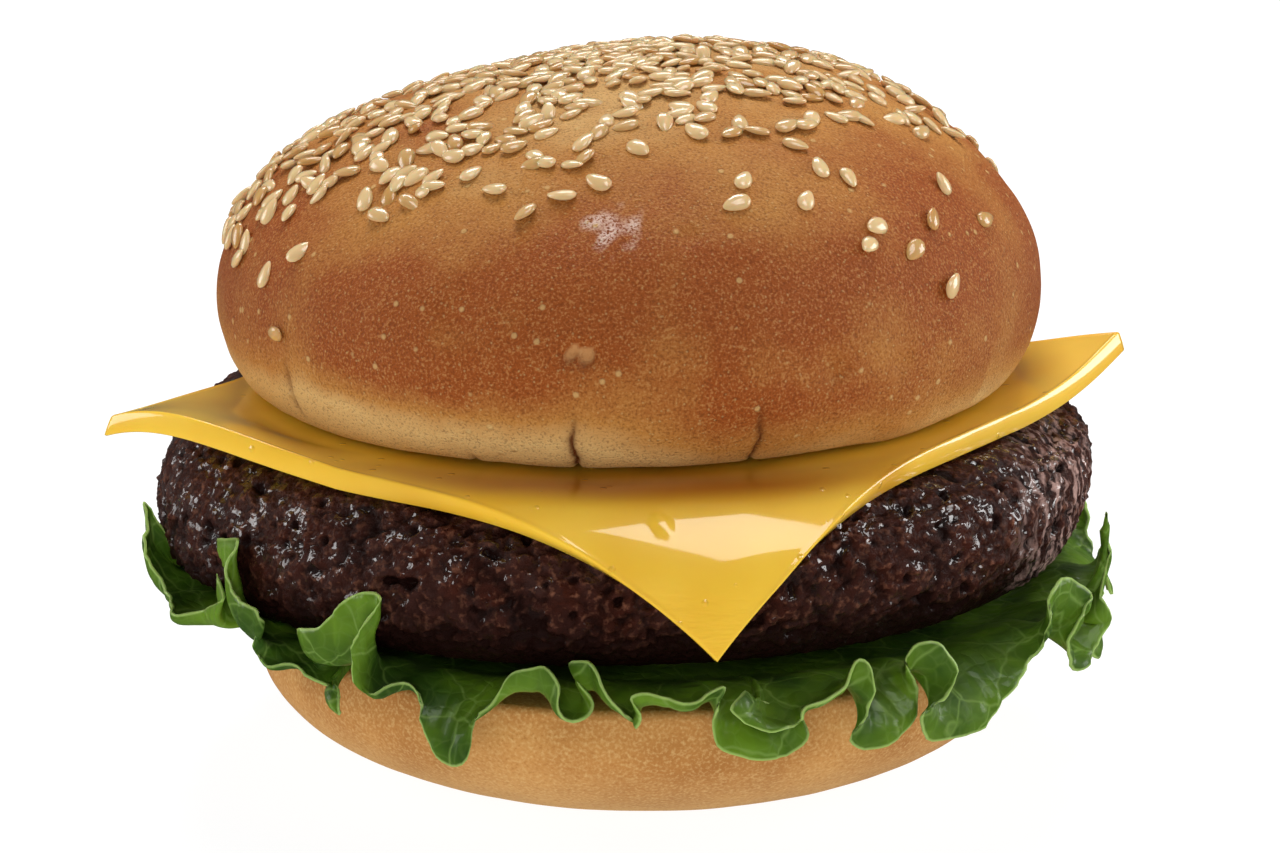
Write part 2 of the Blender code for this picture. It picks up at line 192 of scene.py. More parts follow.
def heel_skin():
    """The profile turned round the Z axis, then pressed in a little by soft noise."""
    radius, height = heel_profile()
    azimuth = np.linspace(0, 2 * np.pi, HEEL_COLUMNS, endpoint=False)
    ring = np.stack([np.cos(azimuth), np.sin(azimuth), azimuth * 0], -1)
    grid = radius[:, None, None] * ring + height[:, None, None] * np.array([0, 0, 1.0])
    uneven = 1 + soft_noise(grid / HEEL_RADIUS, 0.8, 3)
    grid[..., :2] *= 1 - 0.010 * (height[:, None, None] / HEEL_HEIGHT) * uneven[..., None]
    above = np.clip(height / (3 * MM), 0, 1)[:, None]
    dent = (1 + soft_noise(grid, 11 * MM, 4)) * 0.5 + (1 + soft_noise(grid, 4 * MM, 5)) * 0.12
    return grid - grid_normals(grid) * (HEEL_DENT * above * dent)[..., None]


def heel_crust():
    """Bread crust baked on a tray: dry and matt, tan with browner clouds. Painted light from the
    floor makes it paler towards the floor. Fine pale and dark grains give the eye its sandy
    look. They are drawn 0.4 mm wide, coarser than real ones, so that they show."""
    made, add = finish("baked_bun_side", Roughness=0.72, Specular_IOR_Level=0.12)
    place = add("TexCoord", output="Object")
    height = add("SeparateXYZ", {0: place}, output="Z")
    cloud, grain = (add("TexNoise", {"Vector": place, "Scale": 1 / size, "Detail": 3})
                    for size in (12 * MM, 0.4 * MM))
    clouded = add("MapRange", {0: cloud, 1: 0.35, 2: 0.7})
    # Painted light: paler towards the floor, for the glow that the floor throws up
    low = add("MapRange", {0: height, 1: 11 * MM, 2: 0.0, 4: 0.55})
    pale = add("MapRange", {0: grain, 1: 0.48, 2: 0.72, 4: 0.6})
    dark = add("MapRange", {0: grain, 1: 0.42, 2: 0.3, 4: 0.6})
    colour = linear(HEEL_TAN)
    for share, tint in ((clouded, HEEL_BROWN), (low, HEEL_PALE),
                        (pale, HEEL_PALE), (dark, HEEL_BROWN)):
        colour = add("Mix", {0: share, 6: colour, 7: linear(tint)}, output=2, data_type="RGBA")
    bump = add("Bump", {"Strength": 0.5, "Distance": 0.25 * MM, "Height": grain})
    return feed(made, Base_Color=colour, Normal=bump)


heel_points, heel_faces = closed_turn(heel_skin())
heel = add_piece("bun_heel_crust", heel_points, heel_faces, heel_crust())
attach(heel, "root")
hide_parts("bun_heel")


# Lettuce leaf
# One crisp green leaf laid over the cut face of the heel and held flat by the meat. Past
# the meat its frilled edge stands free, with lobes that curl up and others that hang.
LEAF_THICKNESS = 0.55 * MM
LEAF_GRIPPED = 44 * MM
LEAF_WAVE = 1.25 * MM
LEAF_WAVES = 9
LEAF_LEVEL = 21.2 * MM
LEAF_SQUARENESS = 2.6
LEAF_HUMP = 1.5 * MM        # how far the leaf swells up under the patty's edge
LEAF_NICK = 0.4 * MM        # how deep the edge is nicked
LEAF_CRINKLE = 0.45 * MM    # how far the frill is blistered between its veins
LEAN = 0.012                # the stack above the leaf rises this much to the right
# Corners of the frilled edge as it runs from the left round the front: azimuth in degrees,
# reach and height in mm. Where the azimuth turns back, the leaf folds over itself
FRILL_FRONT = (
    (190, 60.5, 33.5), (192, 61, 30), (194, 61, 27.5), (198, 59, 24.5), (206, 61, 23.5),
    (208, 58.5, 24.5), (216, 60, 28), (208, 56.5, 30.5), (211, 57.5, 34), (218.5, 59, 36),
    (218, 61, 33), (219.5, 61.5, 30), (224.5, 61, 29), (222, 60.5, 24.5), (224, 60.5, 22),
    (226, 58.5, 23), (228, 57.5, 21.5), (233, 57.5, 21), (234.5, 59, 18), (230.5, 55, 19.5),
    (225.5, 56, 23.5), (229, 60.5, 28), (232.5, 60.5, 28.5), (235.5, 59.5, 32.5), (238.5, 59.5, 34),
    (241, 59.5, 33.5), (239.5, 61, 31.5), (238, 62, 28.5), (238, 62, 24), (240, 61.5, 22),
    (241, 60, 23.5), (243, 58, 23.5), (244.5, 58, 20.5), (244.5, 59, 19), (246.5, 59.5, 16),
    (248, 59.5, 14.5), (250.5, 59.5, 15), (250.5, 58.5, 19.5), (253, 56.5, 22.5), (254.5, 57, 25.5),
    (259, 57.5, 27), (261, 59, 25), (260.5, 59.5, 22.5), (262, 59, 20.5), (264, 57.5, 21),
    (264.5, 56, 22.5), (262.5, 55.5, 24), (261, 55.5, 27), (264, 57, 27.5), (265, 58, 26),
    (266, 58.5, 24), (269.5, 59.5, 20), (270, 60, 22.5), (268, 60, 24), (269.5, 60, 25),
    (275, 60.5, 23.5), (279.5, 58.5, 25), (277.5, 57.5, 20.5), (278, 58.5, 17.5), (282.5, 59, 16),
    (286.5, 58.5, 16), (289, 58, 18), (288, 57, 21), (283, 57, 22.5), (281, 59, 24.5),
    (280, 60.5, 24), (278.5, 61, 23), (281, 61.5, 21), (283, 61.5, 20), (287, 61, 20.5),
    (286.5, 61, 22.5), (290, 60, 23), (292.5, 59.5, 24), (294.5, 58.5, 27), (296, 59, 26),
    (296, 59.5, 22), (294.5, 59.5, 19), (292.5, 59.5, 17.5), (294.5, 59.5, 16), (297, 59.5, 16),
    (300, 59, 17), (302, 58.5, 18.5), (303, 57.5, 22), (301, 57.5, 25), (301.5, 58, 27),
    (304.5, 59, 27.5), (307, 60, 24), (305, 60.5, 21), (301, 60, 19.5), (303, 59.5, 15.5),
    (307, 59.5, 15.5), (311, 59.5, 15.5), (314, 59.5, 18.5), (317.5, 59.5, 21), (320.5, 59, 23),
    (321.5, 60, 25.5), (321.5, 59.5, 29.5), (326, 59.5, 30.5), (330.5, 60, 27.5), (327.5, 60, 25),
    (326, 59, 22.5), (326.5, 60, 18.5), (330, 60, 19), (335, 60.5, 23.5), (333, 60, 25.5),
    (334.5, 60.5, 32), (333, 60.5, 37),
)
FRILL_BACK_FOLDS = 11
FRILL_SEED = 7
FRILL_SOFTNESS = 0.8        # mm along the edge over which its corners are rounded
FRILL_SPREAD = 9            # mm along the edge over which folds share the leaf below them
LEAF_COLUMNS = 1080         # lines that run out to the edge
LEAF_STEPS = 32             # rows of points along the free frill
LEAF_GREEN = "#5f801d"
LEAF_DEEP = "#2f4c13"
LEAF_VEIN = "#7d9a4a"
LEAF_EDGE = "#a5bf6c"


def frill_points():
    """The edge's corners all the way round. Behind, crests and troughs follow each other by
    rule with a seeded draw, and each is a corner with a less high or low one at either side."""
    draw = random.Random(FRILL_SEED)
    start = FRILL_FRONT[-1][0] + 8
    end = FRILL_FRONT[0][0] + 360 - 3
    step = (end - start) / (2 * FRILL_BACK_FOLDS)
    points = list(FRILL_FRONT)
    for i in range(2 * FRILL_BACK_FOLDS):
        crest = i % 2 == 1
        height = draw.uniform(26, 34) if crest else draw.uniform(14, 20)
        inward = draw.uniform(2.5, 5) * (-1 if crest else 1)
        reach = draw.uniform(55.5, 57.5)
        middle = start + step * (i + 0.5 + draw.uniform(-0.3, 0.3))
        wide = step * draw.uniform(0.35, 0.75)
        points.append((middle - wide, reach, height + inward * draw.uniform(0.2, 1)))
        points.append((middle + wide * draw.uniform(-0.7, 0.7), reach + 0.7, height))
        points.append((middle + wide, reach - 0.5, height + inward * draw.uniform(0.2, 1)))
    return np.array(points, float)


def softened(values, spread):
    """Values at even steps round a closed line, each blended with its neighbours by a bell
    curve that is spread over the given number of steps."""
    waves = np.fft.rfftfreq(len(values))
    kept = np.exp(-2 * (np.pi * waves * spread) ** 2)
    return np.fft.irfft(np.fft.rfft(values) * kept, len(values))


def frill_edge(count):
    """The leaf's outer edge at even steps: straight runs between its corners, rounded. Also
    the azimuth that each part of the edge grows from: the edge's own, much smoothed, sorted
    so that it never turns back, and drawn a little towards even steps so that none coincide."""
    points = frill_points()
    points = np.vstack([points, points[0] + (360, 0, 0)])
    on_edge = points * (np.radians(60), 1, 1)
    travelled = np.append(0, np.cumsum(np.linalg.norm(np.diff(on_edge, axis=0), axis=1)))
    place = np.linspace(0, travelled[-1], count, endpoint=False)
    azimuth, reach, height = (np.interp(place, travelled, column) for column in points.T)
    turn = 360 * np.arange(count) / count
    step = travelled[-1] / count
    steady = np.sort(turn + softened(azimuth - turn, FRILL_SPREAD / step))
    steady = 0.97 * steady + 0.03 * (turn + np.mean(azimuth - turn))
    azimuth = turn + softened(azimuth - turn, FRILL_SOFTNESS / step)
    reach = softened(reach, FRILL_SOFTNESS / step) * MM
    height = softened(height, FRILL_SOFTNESS / step) * MM
    return np.radians(azimuth), np.radians(steady), reach, height


def leaf_middle(columns, steps):
    """The leaf's middle surface. Inside it waves gently between bun and meat. Outside, each
    line runs out and curls up or down along a quarter of a superellipse to the frilled
    edge, which is nicked a little. Also each row's share of the way out along the frill."""
    azimuth, steady, reach, height = frill_edge(columns)
    edge = np.stack([reach * np.cos(azimuth), reach * np.sin(azimuth), height], -1)
    nick = 0.7 + soft_noise(edge, 2.2 * MM, 31) + 0.6 * soft_noise(edge, 0.9 * MM, 32)
    reach = reach - LEAF_NICK * nick
    inner = np.linspace(3 * MM, LEAF_GRIPPED, 9)[:-1, None]
    wave = LEAF_WAVE * np.sin(np.pi * inner / LEAF_GRIPPED)
    wave = wave * np.cos(LEAF_WAVES * steady + 40 * inner)
    inner_z = LEAF_LEVEL + LEAN * inner * np.cos(steady) * 0.5 + wave
    s = np.linspace(0, 1, steps)[:, None]
    out = np.sin(s * np.pi / 2) ** (2 / LEAF_SQUARENESS)
    up = 1 - np.cos(s * np.pi / 2) ** (2 / LEAF_SQUARENESS)
    level = LEAF_LEVEL + LEAN * LEAF_GRIPPED * np.cos(steady) * 0.5
    hump = LEAF_HUMP * np.sin(np.pi * np.minimum(out, 1)) ** 2
    radius = np.concatenate([inner + 0 * steady, LEAF_GRIPPED + (reach - LEAF_GRIPPED) * out])
    turn = np.concatenate([steady + 0 * inner, steady + (azimuth - steady) * up])
    z = np.concatenate([inner_z, level + hump + (height - level) * up])
    share = np.concatenate([inner[:, 0] * 0, s[:, 0]])
    return np.stack([radius * np.cos(turn), radius * np.sin(turn), z], -1), share


def leaf_faces(grid, normal, share):
    """Both faces of the leaf, half the thickness to either side of the middle and thinner
    towards the edge, joined round the rim and closed by a pole in the middle."""
    rows, columns = grid.shape[:2]
    half = (LEAF_THICKNESS * (0.5 - 0.2 * share ** 4))[:, None, None]
    top, bottom = grid + normal * half, grid - normal * half
    index = np.arange(rows * columns).reshape(rows, columns)
    right = np.roll(index, -1, axis=1)
    lower = rows * columns
    upper = np.stack([index[:-1], index[1:], right[1:], right[:-1]], -1).reshape(-1, 4)
    under = lower + upper[:, ::-1]
    rim = np.stack([index[-1], lower + index[-1], lower + right[-1], right[-1]], -1)
    pole = np.stack([np.full(columns, 2 * lower), index[0], right[0]], -1)
    pit = np.stack([np.full(columns, 2 * lower + 1), lower + right[0], lower + index[0]], -1)
    middles = [top[:1].mean(axis=1), bottom[:1].mean(axis=1)]
    points = np.concatenate([top.reshape(-1, 3), bottom.reshape(-1, 3)] + middles)
    return points, [upper, under, rim, pole, pit]


def leaf_numbers(grid):
    """How far each point is from the leaf's edge, in metres along the leaf. The pale margin
    is drawn on this."""
    steps = np.linalg.norm(np.diff(grid, axis=0, prepend=grid[:1]), axis=-1)
    outward = np.cumsum(steps, axis=0)
    inset = outward[-1] - outward
    return {"inset": np.concatenate([inset.ravel(), inset.ravel(), [0.05, 0.05]])}


def leaf_green():
    """Fresh loose-leaf lettuce: thin, moist and a little see-through, in patches of lighter
    and deeper green under a net of pale veins, with a pale margin. Its waxy skin swells
    between the veins and takes soft highlights."""
    made, add = finish("fresh_lettuce", Roughness=0.45, Subsurface_Weight=0.2,
                       Subsurface_Scale=0.8 * MM, Specular_IOR_Level=0.15,
                       Subsurface_Radius=(0.5, 1.0, 0.25),
                       Coat_Weight=0.12, Coat_Roughness=0.12)
    place = add("TexCoord", output="Object")
    inset = add("Attribute", output="Fac", attribute_name="inset")
    sway = add("TexNoise", {"Vector": place, "Scale": 1 / (5 * MM), "Detail": 2},
               output="Color")
    pushed = add("VectorMath", {0: sway, 1: (2.5 * MM,) * 3}, operation="MULTIPLY")
    swayed = add("VectorMath", {0: place, 1: pushed})
    ribs, net = (add("TexVoronoi", {"Vector": swayed, "Scale": 1 / size},
                     feature="DISTANCE_TO_EDGE") for size in (7 * MM, 2.4 * MM))
    rib = add("MapRange", {0: ribs, 2: 0.035, 3: 0.55, 4: 0.0})
    fine = add("MapRange", {0: net, 2: 0.08, 3: 0.12, 4: 0.0})
    vein = add("Math", {0: rib, 1: fine}, operation="MAXIMUM")
    patches = add("TexNoise", {"Vector": place, "Scale": 1 / (9 * MM), "Detail": 3})
    deep = add("MapRange", {0: patches, 1: 0.35, 2: 0.65})
    margin = add("MapRange", {0: inset, 1: 0.36 * MM, 2: 0.12 * MM, 4: 0.7})
    colour = linear(LEAF_GREEN)
    for share, tint in ((deep, LEAF_DEEP), (vein, LEAF_VEIN), (margin, LEAF_EDGE)):
        colour = add("Mix", {0: share, 6: colour, 7: linear(tint)}, output=2, data_type="RGBA")
    blister = add("Math", {0: net, 1: ribs})
    bump = add("Bump", {"Strength": 0.6, "Distance": 0.4 * MM, "Height": blister})
    return feed(made, Base_Color=colour, Normal=bump, Coat_Normal=bump)


leaf_grid, leaf_share = leaf_middle(LEAF_COLUMNS, LEAF_STEPS)
leaf_normal = -grid_normals(leaf_grid)
leaf_crinkle = soft_noise(leaf_grid, 6 * MM, 33) + 0.6 * soft_noise(leaf_grid, 3 * MM, 34)
leaf_crinkle = LEAF_CRINKLE * leaf_share[:, None] ** 1.5 * leaf_crinkle
leaf_grid = leaf_grid + leaf_normal * leaf_crinkle[..., None]
leaf_points, leaf_parts = leaf_faces(leaf_grid, -grid_normals(leaf_grid), leaf_share)
leaf = add_piece("lettuce_frill", leaf_points, leaf_parts, leaf_green(), leaf_numbers(leaf_grid))
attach(leaf, "root")
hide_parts("lettuce_leaf")


# Beef patty
# A thick disc of coarsely ground beef, pressed and then seared on a flat grill, so its side
# is a wall of lumps, torn fibres and cracks that glistens with fat and juice. Painted shade
# darkens its cracks and its lower part.
PATTY_CENTRE = (-2.3 * MM, 0)
PATTY_RADIUS = 57.0 * MM
PATTY_BOTTOM = 24.3 * MM
PATTY_TOP = 43.0 * MM
PATTY_ROUND = 9.4 * MM
PATTY_SQUARENESS = 2.3
PATTY_SIDE_LEAN = 0.03
PATTY_LUMP = 4.6 * MM       # size of the clumps that the side is pressed from
PATTY_GRAIN = 1.5 * MM      # size of the single grains of meat
PATTY_COLUMNS = 620         # points round each ring
PATTY_SIDE_ROWS = 132       # rings up the side
# Near black of the painted shade in the cracks and towards the bottom
MEAT_SHADE = "#1a0a07"
MEAT_BROWN = "#431d12"
MEAT_LIGHT = "#8c5a44"
MEAT_GREY = "#40241e"
# Pale streaks at the right end: pulled fibres with a painted sheen of light from the right
MEAT_FIBRE_SHEEN = "#b8958b"


def front_dense(columns, crowding):
    """Azimuths round a full turn that lie closer together at the front, where the finest
    marks are: even steps less the crowding times the sine of the way from the front."""
    even = np.linspace(0, 2 * np.pi, columns, endpoint=False)
    return even - crowding * np.sin(even + np.pi / 2)


def nearest_centres(points, size, seed):
    """Distances to the nearest and the second nearest of scattered centres, one in each
    cell of a cubic lattice of the given size, as shares of that size."""
    jitter = np.random.default_rng(seed).random(size=(4096, 3))
    place = points / size
    cell = np.floor(place).astype(np.int64)
    near = np.full(points.shape[:-1], 9.0)
    next_near = near.copy()
    for shift in np.ndindex(3, 3, 3):
        other = cell + np.array(shift) - 1
        away = np.linalg.norm(other + jitter[lattice_number(other)] - place, axis=-1)
        next_near = np.minimum(next_near, np.maximum(near, away))
        near = np.minimum(near, away)
    return near, next_near


def patty_form(columns, side_rows):
    """A disc with flat faces whose side is a superellipse in section, rising a little to
    the right. Also each ring's share of side, 1 at the widest line and 0 on the faces."""
    half = (PATTY_TOP - PATTY_BOTTOM) / 2
    flat = PATTY_RADIUS - PATTY_ROUND
    t = np.linspace(-np.pi / 2, np.pi / 2, side_rows)
    lift = np.sign(t) * np.abs(np.sin(t)) ** (2 / PATTY_SQUARENESS)
    radius = flat + PATTY_ROUND * np.abs(np.cos(t)) ** (2 / PATTY_SQUARENESS)
    face = np.linspace(2 * MM, flat, 10)[:-1]
    radius = np.concatenate([face, radius, face[::-1]])[:, None]
    lift = np.concatenate([face * 0 - 1, lift, face * 0 + 1])[:, None]
    side = 1 - np.abs(lift) ** 4
    azimuth = front_dense(columns, 0.5)
    x = radius * np.cos(azimuth)
    z = PATTY_BOTTOM + half + half * lift + (LEAN + PATTY_SIDE_LEAN * side ** 3) * x
    return np.stack([PATTY_CENTRE[0] + x, PATTY_CENTRE[1] + radius * np.sin(azimuth), z], -1), side


def patty_skin(columns, side_rows):
    """The form with its side torn inwards: slow hollows, pits, and the seams between lumps
    and between single grains. Also how far each point is spared painted shade, from 0 to 1:
    less in the seams, pits and rough places, and less towards the bottom."""
    form, side = patty_form(columns, side_rows)
    normal = grid_normals(form)
    bent = form + 1.6 * MM * np.stack([soft_noise(form, 4 * MM, s) for s in (41, 42, 43)], -1)
    near, next_near = nearest_centres(bent, PATTY_LUMP, 44)
    seam = 1 - np.clip((next_near - near) / 0.30, 0, 1)
    kept = np.clip(0.5 + soft_noise(form, 7 * MM, 48), 0, 1)
    near, next_near = nearest_centres(bent, PATTY_GRAIN, 45)
    grain = 1 - np.clip((next_near - near) / 0.6, 0, 1)
    hollow = np.clip(0.5 + 0.6 * soft_noise(form, 11 * MM, 46), 0, 1.2)
    pit = np.clip(soft_noise(form, 2.1 * MM, 47) - 0.42, 0, 0.6)
    rough = 0.5 + 0.4 * soft_noise(form, 1.9 * MM, 49) + 0.4 * soft_noise(form, 0.9 * MM, 50)
    depth = 0.45 * seam * kept + 0.32 * grain + 0.75 * hollow + 2.2 * pit + 0.55 * rough
    # Painted shade: seams, grains, pits and rough places keep less of the meat's colour
    unshaded = 1 - np.clip((0.6 * seam * kept + 0.3 * grain + 3.2 * pit + 0.5 * rough) / 1.6, 0, 1)
    middle = (PATTY_BOTTOM + PATTY_TOP) / 2
    # Painted shade: the share falls towards the bottom, which lies in shade above the leaf
    unshaded = unshaded * np.clip(1.05 + (form[..., 2] - middle) / (11 * MM), 0.1, 1)
    strength = 0.15 + 0.85 * np.clip(side * 2.5, 0, 1)
    return form - normal * (MM * np.maximum(depth, 0) * strength)[..., None], unshaded


def seared_beef():
    """Seared minced beef: reddish or greyish brown on the lumps, with pale flecks. Painted
    shade makes it near black in the cracks and towards the bottom. At the right front end
    pale vertical streaks stand for pulled fibres and for a painted sheen of light grazing from
    the right. A film of fat, thickest near the top, is beaded and breaks the light into small
    sparks."""
    made, add = finish("seared_minced_beef", Specular_IOR_Level=0.06, Roughness=0.5,
                       Coat_Roughness=0.05, Coat_IOR=1.6)
    place = add("TexCoord", output="Object")
    x, y, z = (add("SeparateXYZ", {0: place}, output=axis) for axis in "XYZ")
    unshaded = add("Attribute", output="Fac", attribute_name="unshaded")
    blot, grain, fat, beads = (
        add("TexNoise", {"Vector": place, "Scale": 1 / size, "Detail": detail})
        for size, detail in ((5 * MM, 4), (0.8 * MM, 3), (2.2 * MM, 3), (1.3 * MM, 0.5)))
    grey = add("MapRange", {0: blot, 1: 0.38, 2: 0.66})
    fleck = add("MapRange", {0: grain, 1: 0.52, 2: 0.72, 4: 0.8})
    # Painted shade, near black, in the cracks and towards the bottom
    deep = add("MapRange", {0: unshaded, 1: 0.95, 2: 0.35})
    pulled = add("Mapping", {"Vector": place, "Scale": [1 / (d * MM) for d in (1.1, 1.1, 6)]})
    fibres = add("TexNoise", {"Vector": pulled, "Scale": 1.0, "Detail": 3})
    fibre = add("MapRange", {0: fibres, 1: 0.48, 2: 0.66, 4: 0.9})
    # Pale vertical streaks at the right front end: pulled fibres and a painted sheen of light
    # grazing from the right
    right_end = add("MapRange", {0: x, 1: 41 * MM, 2: 48 * MM})
    ahead = add("MapRange", {0: y, 1: 2 * MM, 2: -10 * MM})
    shown = add("Math", {0: ahead, 1: right_end}, operation="MULTIPLY")
    fibre_sheen = add("Math", {0: fibre, 1: shown}, operation="MULTIPLY")
    colour = linear(MEAT_BROWN)
    for share, tint in ((grey, MEAT_GREY), (fleck, MEAT_LIGHT),
                        (deep, MEAT_SHADE), (fibre_sheen, MEAT_FIBRE_SHEEN)):
        colour = add("Mix", {0: share, 6: colour, 7: linear(tint)}, output=2, data_type="RGBA")
    film = add("MapRange", {0: fat, 1: 0.5, 2: 0.57})
    high = add("MapRange", {0: z, 1: 28 * MM, 2: 37 * MM, 3: 0.12})
    wet = add("Math", {0: film, 1: high}, operation="MULTIPLY")
    bump = add("Bump", {"Strength": 1.0, "Distance": 0.6 * MM, "Height": grain})
    beaded = add("Bump", {"Strength": 1.0, "Distance": 0.9 * MM, "Height": beads})
    return feed(made, Base_Color=colour, Coat_Weight=wet, Normal=bump, Coat_Normal=beaded)


patty_grid, patty_unshaded = patty_skin(PATTY_COLUMNS, PATTY_SIDE_ROWS)
patty_points, patty_parts = closed_turn(patty_grid)
patty_values = {"unshaded": np.concatenate([patty_unshaded.ravel(), [1, 1]])}
patty = add_piece("beef_patty_meat", patty_points, patty_parts, seared_beef(), patty_values)
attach(patty, "root")
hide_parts("beef_patty")


# Cheese slice
# One square slice of processed cheddar, laid on the hot meat with a corner to the front. It
# has softened, so that corner hangs down over the meat and the side tips stand off a little.
CHEESE_SIDE = 88 * MM
CHEESE_THICKNESS = 2.7 * MM
CHEESE_CENTRE = (-2.7 * MM, -9.7 * MM)
CHEESE_FRONT_CORNER = -78.5     # azimuth of the corner that hangs in front, in degrees
CHEESE_SHOULDER = 49.0 * MM
CHEESE_LIFT_FROM = 45.5 * MM
CHEESE_BEND_RADIUS = 11.3 * MM
CHEESE_EDGE = 0.45 * MM     # radius of the softened edge
CHEESE_GAP = 0.3 * MM
# A drop of melted cheese: azimuth in degrees, distance, radius and height
CHEESE_DROP = (-85.6, 56.5 * MM, 1.3 * MM, 0.3 * MM)
# Azimuth, how far the slice bends down there and how wide that bend runs, in degrees
CHEESE_BENDS = ((-80, 78, 30), (-159, -22, 26), (8, -19, 18), (100, 40, 34))
CHEESE_TIP_SAG = 25         # 1/m, how fast the left tip sags again past the shoulder
CHEESE_UNEVEN = 0.12 * MM   # how far the upper face is from flat
CHEESE_CELLS = 196          # squares along each side
CHEESE_EDGE_STEPS = 9       # lines of points round the edge's half circle
CHEDDAR = "#f5c63c"
CHEDDAR_DEEP = "#ecb52c"
CHEDDAR_SHADE = "#a45206"    # painted shade beside the bread, under the crown's rim


def cheese_bend(azimuth):
    """How far the slice bends down in a direction, in radians: a sum of soft bumps."""
    turns, bends, widths = np.array(CHEESE_BENDS).T
    away = (np.degrees(azimuth)[..., None] - turns + 180) % 360 - 180
    return np.radians((bends * np.exp(-(away / widths) ** 2)).sum(-1))


def cheese_place(u, v):
    """Where a point u and v along the slice's sides lies on the level, from the patty's
    centre."""
    corner = math.radians(CHEESE_FRONT_CORNER)
    first, second = corner - math.pi / 4, corner + math.pi / 4
    x = CHEESE_CENTRE[0] + u * math.cos(first) + v * math.cos(second)
    y = CHEESE_CENTRE[1] + u * math.sin(first) + v * math.sin(second)
    return x - PATTY_CENTRE[0], y - PATTY_CENTRE[1]


def drape(u, v, offset):
    """Points of the slice at u and v along its sides and offset up from its middle. A
    point's distance from the patty's centre is laid off level to the shoulder, then round a
    bend, down or up, then straight. The left tip sags again with the square of its reach."""
    dx, dy = cheese_place(u, v)
    distance = np.hypot(dx, dy)
    bend = cheese_bend(np.arctan2(dy, dx))
    sense = np.where(bend < 0, -1, 1)
    bend = np.abs(bend) + 1e-6
    shoulder = np.where(sense > 0, CHEESE_SHOULDER, CHEESE_LIFT_FROM)
    past = np.maximum(distance - shoulder, 0)
    turn = np.minimum(past / CHEESE_BEND_RADIUS, bend)
    straight = past - turn * CHEESE_BEND_RADIUS
    reach = np.minimum(distance, shoulder)
    reach = reach + CHEESE_BEND_RADIUS * np.sin(turn) + straight * np.cos(turn)
    drop = sense * (CHEESE_BEND_RADIUS * (1 - np.cos(turn)) + straight * np.sin(turn))
    drop = drop + CHEESE_TIP_SAG * past ** 2 * (dx < 0) * np.exp(-(dy / dx * 4) ** 2 * 0.3)
    reach = reach + offset * sense * np.sin(turn)
    rise = offset * np.cos(turn)
    dx, dy = dx / distance * reach, dy / distance * reach
    level = PATTY_TOP + CHEESE_GAP + CHEESE_THICKNESS / 2
    z = level - drop + rise + LEAN * dx
    return np.stack([PATTY_CENTRE[0] + dx, PATTY_CENTRE[1] + dy, z], -1)


def cheese_blob(u, v):
    """How much a small drop of melted cheese stands up at u and v: a dome with steep sides,
    drawn out to one side like a tear."""
    turn, distance, radius, height = CHEESE_DROP
    x, y = cheese_place(u, v)
    dx = x - distance * math.cos(math.radians(turn))
    dy = y - distance * math.sin(math.radians(turn))
    away = np.hypot(dx, dy + 0.4 * dx) / radius
    return height * np.clip(1 - away ** 3, 0, 1) ** 0.6


def cheese_slab(cells, edge_steps):
    """The draped slice as a closed slab: an upper and a lower face, inset by the edge's
    radius, and rings round the border that turn the edge in a half circle."""
    half = CHEESE_SIDE / 2 - CHEESE_EDGE
    line = np.linspace(-half, half, cells + 1)
    u, v = np.meshgrid(line, line, indexing="ij")
    whole = u.size
    index = np.arange(whole).reshape(u.shape)
    border = np.concatenate([index[:-1, 0], index[-1, :-1], index[:0:-1, -1], index[0, :0:-1]])
    count = len(border)
    slack = CHEESE_UNEVEN * soft_noise(np.stack([u, v, 0 * u], -1), 9 * MM, 51)
    top = drape(u, v, CHEESE_THICKNESS / 2 - CHEESE_UNEVEN + slack + cheese_blob(u, v))
    bottom = drape(u, v, -CHEESE_THICKNESS / 2 + 0 * u)
    bu, bv = u.ravel()[border], v.ravel()[border]
    flat = CHEESE_THICKNESS / 2 - CHEESE_EDGE
    rings = []
    for turn in np.linspace(np.pi / 2, -np.pi / 2, edge_steps)[1:-1]:
        upright = math.copysign(flat, math.sin(turn)) * min(1, abs(math.sin(turn)) * 4)
        offset = upright + CHEESE_EDGE * math.sin(turn)
        grown = 1 + CHEESE_EDGE * math.cos(turn) / half
        rings.append(drape(bu * grown, bv * grown, offset + 0 * bu))
    points = np.concatenate([top.reshape(-1, 3), bottom.reshape(-1, 3)] + rings)
    upper = np.stack([index[:-1, :-1], index[1:, :-1], index[1:, 1:], index[:-1, 1:]], -1)
    upper = upper.reshape(-1, 4)
    lower = whole + upper[:, ::-1]
    loops = [2 * whole + i * count + np.arange(count) for i in range(len(rings))]
    loops = [border] + loops + [whole + border]
    walls = [np.stack([above, below, np.roll(below, -1), np.roll(above, -1)], -1)
             for above, below in zip(loops[:-1], loops[1:])]
    return points, [upper, lower] + walls


